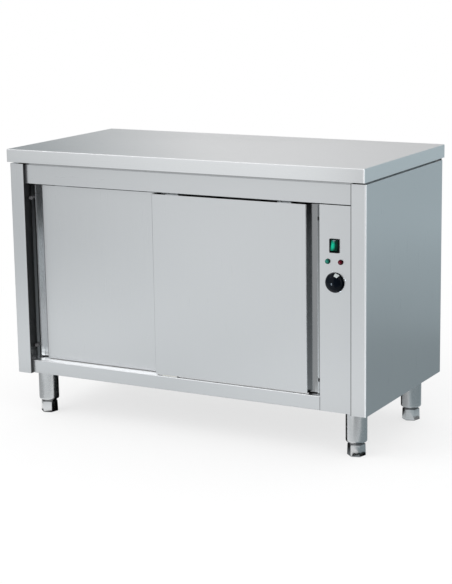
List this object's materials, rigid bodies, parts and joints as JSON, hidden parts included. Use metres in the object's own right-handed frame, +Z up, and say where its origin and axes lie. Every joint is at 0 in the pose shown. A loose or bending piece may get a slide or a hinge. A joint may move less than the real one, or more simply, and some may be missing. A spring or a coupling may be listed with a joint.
{
  "type": "plate warmer cabinet",
  "caption": "Stainless hot cupboard for warming plates: worktop, sliding doors hung on rollers, fan heater, control panel with switch, lamps and dial, adjustable legs.",
  "frame": {"origin": "centre of the footprint on the floor, under the middle of the worktop", "axes": "+X to the right seen from the front, -Y towards the person at the doors, +Z up"},
  "size_m": [1.2, 0.6, 0.85],
  "materials": {
    "stainless": "fine satin brushed",
    "galvanised": "galvanised sheet steel, dull",
    "wool": "mineral wool slab",
    "nylon": "natural nylon",
    "rubber_black": "matt rubber",
    "black_plastic": "satin moulded",
    "pale_plastic": "moulded",
    "copper": "drawn tube",
    "knob_black": "high gloss",
    "green_rocker": "translucent gloss",
    "green_lens": "translucent gloss",
    "red_lens": "translucent gloss",
    "element": "heat-tinted sheath"
  },
  "bodies": {
    "cabinet": {"worktop": "stainless", "top_stiffeners": "galvanised", "left_side": "stainless", "right_side": "stainless", "back_panel": "galvanised", "back_screws": "galvanised", "header": "stainless", "base_shelf": "stainless", "compartment_floor": "galvanised", "control_panel": "stainless", "left_liner": "stainless", "partition": "stainless", "back_liner": "stainless", "top_liner": "stainless", "insulation": "wool", "middle_shelf": "stainless", "shelf_rails": "stainless", "door_track": "galvanised", "track_screws": "galvanised", "floor_guide": "nylon", "door_bumpers": "rubber_black", "leg_front_left": "stainless", "leg_front_right": "stainless", "leg_back_left": "stainless", "leg_back_right": "stainless", "leg_inserts": "black_plastic", "thermostat": "pale_plastic", "thermostat_bulb": "copper", "switch_body": "black_plastic", "green_lens": "green_lens", "red_lens": "red_lens", "lamp_holders": "black_plastic", "fan_housing": "galvanised", "fan_motor": "galvanised", "heater_element": "element", "terminal_block": "pale_plastic", "cable_gland": "black_plastic"},
    "right_door": {"right_door_skin": "stainless", "right_door_liner": "stainless", "right_door_core": "wool", "right_hangers": "galvanised", "right_hanger_screws": "galvanised"},
    "left_door": {"left_door_skin": "stainless", "left_door_liner": "stainless", "left_door_core": "wool", "left_hangers": "galvanised", "left_hanger_screws": "galvanised"},
    "right_wheel_a": {"right_roller_a": "nylon"},
    "right_wheel_b": {"right_roller_b": "nylon"},
    "left_wheel_a": {"left_roller_a": "nylon"},
    "left_wheel_b": {"left_roller_b": "nylon"},
    "dial": {"knob": "knob_black", "thermostat_shaft": "galvanised"},
    "rocker": {"switch_rocker": "green_rocker"},
    "fan": {"fan_impeller": "galvanised"},
    "foot_fl": {"foot_front_left": "stainless"},
    "foot_fr": {"foot_front_right": "stainless"},
    "foot_bl": {"foot_back_left": "stainless"},
    "foot_br": {"foot_back_right": "stainless"}
  },
  "joints": [
    {"name": "right_door_slide", "type": "slide", "parent": "cabinet", "child": "right_door", "axis": [1, 0, 0], "range_m": [-0.437, 0]},
    {"name": "left_door_slide", "type": "slide", "parent": "cabinet", "child": "left_door", "axis": [1, 0, 0], "range_m": [0, 0.437]},
    {"name": "right_wheel_a_turn", "type": "hinge", "parent": "right_door", "child": "right_wheel_a", "pos_m": [-0.034, -0.2502, 0.7641], "axis": [0, 1, 0], "continuous": true},
    {"name": "right_wheel_b_turn", "type": "hinge", "parent": "right_door", "child": "right_wheel_b", "pos_m": [0.336, -0.2502, 0.7641], "axis": [0, 1, 0], "continuous": true},
    {"name": "left_wheel_a_turn", "type": "hinge", "parent": "left_door", "child": "left_wheel_a", "pos_m": [-0.445, -0.2242, 0.7641], "axis": [0, 1, 0], "continuous": true},
    {"name": "left_wheel_b_turn", "type": "hinge", "parent": "left_door", "child": "left_wheel_b", "pos_m": [-0.066, -0.2242, 0.7641], "axis": [0, 1, 0], "continuous": true},
    {"name": "dial_turn", "type": "hinge", "parent": "cabinet", "child": "dial", "pos_m": [0.498, -0.28, 0.5195], "axis": [0, 1, 0], "range_deg": [0, 300]},
    {"name": "rocker_tilt", "type": "hinge", "parent": "cabinet", "child": "rocker", "pos_m": [0.497, -0.268, 0.6245], "axis": [1, 0, 0], "range_deg": [0, 24]},
    {"name": "fan_spin", "type": "hinge", "parent": "cabinet", "child": "fan", "pos_m": [0.478, 0.075, 0.45], "axis": [1, 0, 0], "continuous": true},
    {"name": "foot_fl_screw", "type": "slide", "parent": "cabinet", "child": "foot_fl", "axis": [0, 0, 1], "range_m": [-0.04, 0]},
    {"name": "foot_fr_screw", "type": "slide", "parent": "cabinet", "child": "foot_fr", "axis": [0, 0, 1], "range_m": [-0.04, 0]},
    {"name": "foot_bl_screw", "type": "slide", "parent": "cabinet", "child": "foot_bl", "axis": [0, 0, 1], "range_m": [-0.04, 0]},
    {"name": "foot_br_screw", "type": "slide", "parent": "cabinet", "child": "foot_br", "axis": [0, 0, 1], "range_m": [-0.04, 0]}
  ],
  "couplings": [
    {"joint": "right_wheel_a_turn", "follows": "right_door_slide", "rad_per_m": 97.087},
    {"joint": "right_wheel_b_turn", "follows": "right_door_slide", "rad_per_m": 97.087},
    {"joint": "left_wheel_a_turn", "follows": "left_door_slide", "rad_per_m": 97.087},
    {"joint": "left_wheel_b_turn", "follows": "left_door_slide", "rad_per_m": 97.087}
  ]
}
